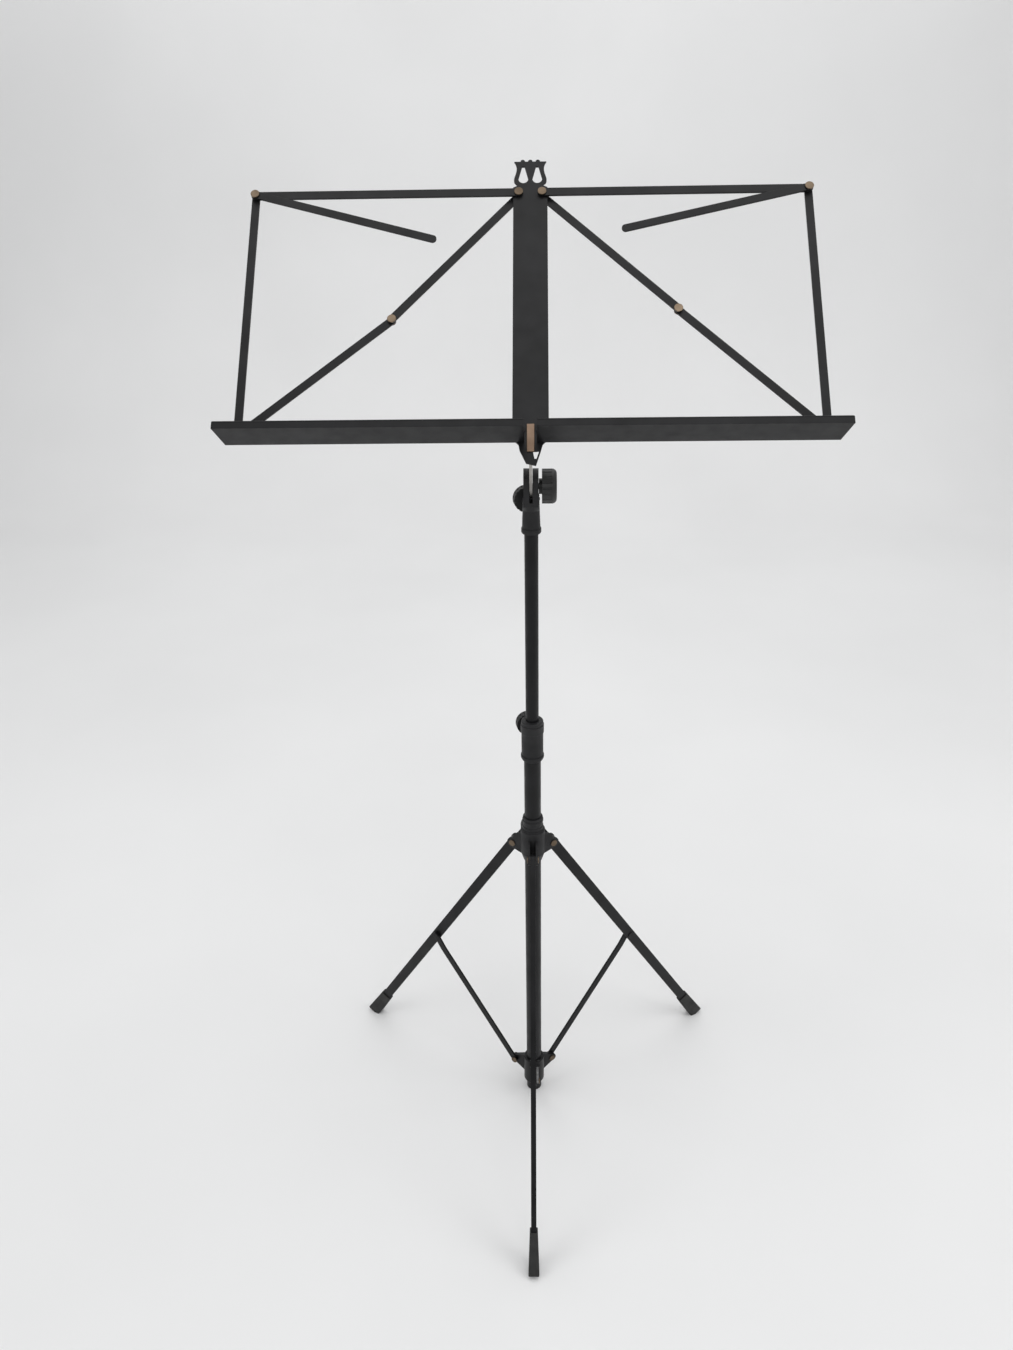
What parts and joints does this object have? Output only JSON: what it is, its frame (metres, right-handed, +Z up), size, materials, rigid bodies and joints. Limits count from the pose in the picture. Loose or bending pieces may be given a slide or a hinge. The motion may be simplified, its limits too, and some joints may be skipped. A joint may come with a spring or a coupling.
{
  "type": "folding music stand",
  "caption": "Folding music stand: open bar desk with shelf, page arms and lyre finial on a tilting, swivelling head, telescopic pole and folding tripod.",
  "frame": {"origin": "on the floor, at the foot of the pole", "axes": "+Z up along the pole, +X to the right of someone reading at the stand, -Y towards the reader"},
  "size_m": [0.49, 0.3902, 0.9399],
  "materials": {
    "black_steel": "satin black powder coat",
    "collar_plastic": "moulded matte black",
    "knob_plastic": "moulded matte black with fine ribs",
    "foot_rubber": "matte black rubber",
    "rivet_metal": "dull bronze-toned steel rivet",
    "bare_brass": "dull bronze strip",
    "bare_steel": "plain steel"
  },
  "bodies": {
    "pole": {"lower_tube": "black_steel", "mid_collar": "collar_plastic", "tripod_hub": "black_steel", "tube_plug": "collar_plastic", "hub_pin_front": "rivet_metal", "hub_pin_right": "rivet_metal", "hub_pin_left": "rivet_metal"},
    "riser": {"upper_tube": "black_steel"},
    "head": {"head": "collar_plastic"},
    "tilt_knob": {"tilt_knob": "knob_plastic"},
    "head_knob": {"head_knob": "knob_plastic"},
    "mid_knob": {"mid_knob": "knob_plastic"},
    "bracket_knob": {"bracket_knob": "knob_plastic"},
    "bracket": {"leg_bracket": "collar_plastic", "leg_pin_front": "rivet_metal", "leg_pin_right": "rivet_metal", "leg_pin_left": "rivet_metal"},
    "desk": {"desk_plate": "black_steel", "plate_strap": "bare_brass", "tilt_tongue": "bare_steel", "rivet_top_right": "rivet_metal", "rivet_top_left": "rivet_metal", "rivet_ledge_right": "rivet_metal", "rivet_ledge_left": "rivet_metal"},
    "leg_front": {"leg_front": "black_steel", "foot_front": "foot_rubber"},
    "strut_front": {"strut_front": "black_steel"},
    "leg_right": {"leg_right": "black_steel", "foot_right": "foot_rubber"},
    "strut_right": {"strut_right": "black_steel"},
    "leg_left": {"leg_left": "black_steel", "foot_left": "foot_rubber"},
    "strut_left": {"strut_left": "black_steel"},
    "ledge_right": {"ledge_right": "black_steel", "rivet_low_right": "rivet_metal"},
    "top_bar_right": {"top_bar_right": "black_steel", "rivet_corner_right": "rivet_metal"},
    "upright_right": {"upright_right": "black_steel"},
    "page_arm_right": {"page_arm_right": "black_steel"},
    "upper_link_right": {"upper_link_right": "black_steel", "rivet_mid_right": "rivet_metal"},
    "lower_link_right": {"lower_link_right": "black_steel"},
    "ledge_left": {"ledge_left": "black_steel", "rivet_low_left": "rivet_metal"},
    "top_bar_left": {"top_bar_left": "black_steel", "rivet_corner_left": "rivet_metal"},
    "upright_left": {"upright_left": "black_steel"},
    "page_arm_left": {"page_arm_left": "black_steel"},
    "upper_link_left": {"upper_link_left": "black_steel", "rivet_mid_left": "rivet_metal"},
    "lower_link_left": {"lower_link_left": "black_steel"}
  },
  "joints": [
    {"name": "pole_extend", "type": "slide", "parent": "pole", "child": "riser", "axis": [0, 0, 1], "range_m": [-0.16, 0.19]},
    {"name": "desk_swivel", "type": "hinge", "parent": "riser", "child": "head", "pos_m": [0, 0, 0.68], "axis": [0, 0, 1], "continuous": true},
    {"name": "desk_tilt", "type": "hinge", "parent": "head", "child": "desk", "pos_m": [0, 0, 0.7045], "axis": [1, 0, 0], "range_deg": [-40, 34]},
    {"name": "leg_fold", "type": "slide", "parent": "pole", "child": "bracket", "axis": [0, 0, 1], "range_m": [0, 0.06]},
    {"name": "tilt_knob_turn", "type": "hinge", "parent": "head", "child": "tilt_knob", "pos_m": [0.015, 0, 0.7045], "axis": [1, 0, 0], "range_deg": [0, 360]},
    {"name": "head_knob_turn", "type": "hinge", "parent": "head", "child": "head_knob", "pos_m": [-0.0045, 0.01949, 0.6875], "axis": [-0.225, 0.9744, 0], "range_deg": [0, 360]},
    {"name": "mid_knob_turn", "type": "hinge", "parent": "pole", "child": "mid_knob", "pos_m": [-0.0045, 0.01949, 0.466], "axis": [-0.225, 0.9744, 0], "range_deg": [0, 360]},
    {"name": "bracket_knob_turn", "type": "hinge", "parent": "bracket", "child": "bracket_knob", "pos_m": [-0.00105, 0.01997, 0.346], "axis": [-0.0523, 0.9986, 0], "range_deg": [0, 360]},
    {"name": "leg_front_swing", "type": "hinge", "parent": "bracket", "child": "leg_front", "pos_m": [0, -0.0209, 0.3343], "axis": [1, 0, 0], "range_deg": [0, 27.14]},
    {"name": "strut_front_swing", "type": "hinge", "parent": "pole", "child": "strut_front", "pos_m": [0, -0.0224, 0.031], "axis": [1, 0, 0], "range_deg": [-31.66, 0]},
    {"name": "leg_right_swing", "type": "hinge", "parent": "bracket", "child": "leg_right", "pos_m": [0.0181, 0.01045, 0.3343], "axis": [-0.5, 0.866, 0], "range_deg": [0, 27.14]},
    {"name": "strut_right_swing", "type": "hinge", "parent": "pole", "child": "strut_right", "pos_m": [0.0194, 0.0112, 0.031], "axis": [-0.5, 0.866, 0], "range_deg": [-31.66, 0]},
    {"name": "leg_left_swing", "type": "hinge", "parent": "bracket", "child": "leg_left", "pos_m": [-0.0181, 0.01045, 0.3343], "axis": [-0.5, -0.866, 0], "range_deg": [0, 27.14]},
    {"name": "strut_left_swing", "type": "hinge", "parent": "pole", "child": "strut_left", "pos_m": [-0.0194, 0.0112, 0.031], "axis": [-0.5, -0.866, 0], "range_deg": [-31.66, 0]},
    {"name": "desk_fold_right", "type": "hinge", "parent": "desk", "child": "ledge_right", "pos_m": [0.0098, -0.01985, 0.7581], "axis": [0, -0.7144, 0.6997], "range_deg": [0, 82]},
    {"name": "top_bar_turn_right", "type": "hinge", "parent": "desk", "child": "top_bar_right", "pos_m": [0.0098, 0.1345, 0.9157], "axis": [0, -0.7144, 0.6997], "range_deg": [0, 82.02]},
    {"name": "upright_turn_right", "type": "hinge", "parent": "top_bar_right", "child": "upright_right", "pos_m": [0.2323, 0.1345, 0.9157], "axis": [0, -0.7144, 0.6997], "range_deg": [-82.02, 0]},
    {"name": "upper_link_turn_right", "type": "hinge", "parent": "desk", "child": "upper_link_right", "pos_m": [0.0098, 0.1345, 0.9157], "axis": [0, -0.7144, 0.6997], "range_deg": [-39.78, 0]},
    {"name": "lower_link_turn_right", "type": "hinge", "parent": "upper_link_right", "child": "lower_link_right", "pos_m": [0.12047, 0.05692, 0.83649], "axis": [0, -0.7144, 0.6997], "range_deg": [0, 168.08]},
    {"name": "page_arm_swing_right", "type": "hinge", "parent": "top_bar_right", "child": "page_arm_right", "pos_m": [0.2323, 0.1345, 0.9157], "axis": [0, -0.7144, 0.6997], "range_deg": [-14, 116]},
    {"name": "desk_fold_left", "type": "hinge", "parent": "desk", "child": "ledge_left", "pos_m": [-0.0098, -0.01985, 0.7581], "axis": [0, 0.7144, -0.6997], "range_deg": [0, 82]},
    {"name": "top_bar_turn_left", "type": "hinge", "parent": "desk", "child": "top_bar_left", "pos_m": [-0.0098, 0.1345, 0.9157], "axis": [0, 0.7144, -0.6997], "range_deg": [0, 82.02]},
    {"name": "upright_turn_left", "type": "hinge", "parent": "top_bar_left", "child": "upright_left", "pos_m": [-0.2323, 0.1345, 0.9157], "axis": [0, 0.7144, -0.6997], "range_deg": [-82.02, 0]},
    {"name": "upper_link_turn_left", "type": "hinge", "parent": "desk", "child": "upper_link_left", "pos_m": [-0.0098, 0.1345, 0.9157], "axis": [0, 0.7144, -0.6997], "range_deg": [-36.2, 0]},
    {"name": "lower_link_turn_left", "type": "hinge", "parent": "upper_link_left", "child": "lower_link_left", "pos_m": [-0.11353, 0.05202, 0.83148], "axis": [0, 0.7144, -0.6997], "range_deg": [0, 160.9]},
    {"name": "page_arm_swing_left", "type": "hinge", "parent": "top_bar_left", "child": "page_arm_left", "pos_m": [-0.2323, 0.1345, 0.9157], "axis": [0, 0.7144, -0.6997], "range_deg": [-17, 113]}
  ],
  "couplings": [
    {"joint": "leg_front_swing", "follows": "leg_fold", "rad_per_m": 7.8904},
    {"joint": "strut_front_swing", "follows": "leg_fold", "rad_per_m": -9.2041},
    {"joint": "leg_right_swing", "follows": "leg_fold", "rad_per_m": 7.8904},
    {"joint": "strut_right_swing", "follows": "leg_fold", "rad_per_m": -9.2041},
    {"joint": "leg_left_swing", "follows": "leg_fold", "rad_per_m": 7.8904},
    {"joint": "strut_left_swing", "follows": "leg_fold", "rad_per_m": -9.2041},
    {"joint": "top_bar_turn_right", "follows": "desk_fold_right", "ratio": 1},
    {"joint": "upright_turn_right", "follows": "desk_fold_right", "ratio": -1},
    {"joint": "upper_link_turn_right", "follows": "desk_fold_right", "ratio": -0.48493},
    {"joint": "lower_link_turn_right", "follows": "desk_fold_right", "ratio": 2.0495},
    {"joint": "top_bar_turn_left", "follows": "desk_fold_left", "ratio": 1},
    {"joint": "upright_turn_left", "follows": "desk_fold_left", "ratio": -1},
    {"joint": "upper_link_turn_left", "follows": "desk_fold_left", "ratio": -0.44119},
    {"joint": "lower_link_turn_left", "follows": "desk_fold_left", "ratio": 1.962}
  ]
}
